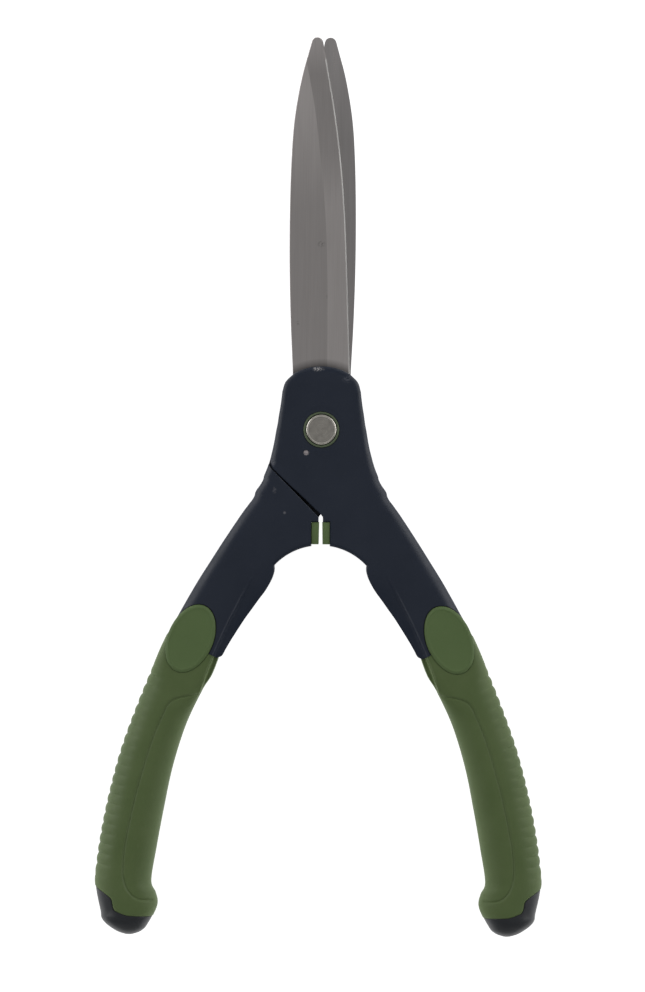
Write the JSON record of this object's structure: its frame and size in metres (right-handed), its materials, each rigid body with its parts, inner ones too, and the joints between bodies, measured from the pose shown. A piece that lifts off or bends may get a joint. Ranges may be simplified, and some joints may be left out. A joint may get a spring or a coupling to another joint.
{
  "type": "pruning shears",
  "caption": "Two-handed garden shears with straight tapered blades, moulded arms crossing at a bolted pivot, ribbed soft grips and oval thumb pads.",
  "frame": {"origin": "on the pivot axis, at the plane the shears rest on when laid flat on their rear side", "axes": "+Y from the pivot to the blade tips, +Z along the pivot axis towards the bolt head, +X to the right-hand handle seen from the bolt head"},
  "size_m": [0.2012, 0.404, 0.021],
  "materials": {
    "blade_steel": "satin, ground lengthways",
    "bolt_steel": "turned, satin",
    "zinc_steel": "zinc plated",
    "black_plastic": "fine texture, blue-black",
    "green_rubber": "soft matte, olive green",
    "green_plastic": "satin, olive green"
  },
  "bodies": {
    "rear_half": {"rear_blade": "blade_steel", "left_handle": "black_plastic", "left_grip": "green_rubber", "left_end_cap": "black_plastic", "left_front_pad": "green_rubber", "left_rear_pad": "green_rubber", "left_bumper": "green_rubber", "rear_bush": "green_plastic", "pivot_bolt": "bolt_steel", "flat_washer": "zinc_steel", "spring_washer": "zinc_steel", "lock_nut": "zinc_steel"},
    "front_half": {"front_blade": "blade_steel", "right_handle": "black_plastic", "right_grip": "green_rubber", "right_end_cap": "black_plastic", "right_front_pad": "green_rubber", "right_rear_pad": "green_rubber", "right_bumper": "green_rubber", "front_bush": "green_plastic"}
  },
  "joints": [
    {"name": "pivot_hinge", "type": "hinge", "parent": "rear_half", "child": "front_half", "pos_m": [0, 0, 0.0105], "axis": [0, 0, 1], "range_deg": [-1.8, 50]}
  ]
}
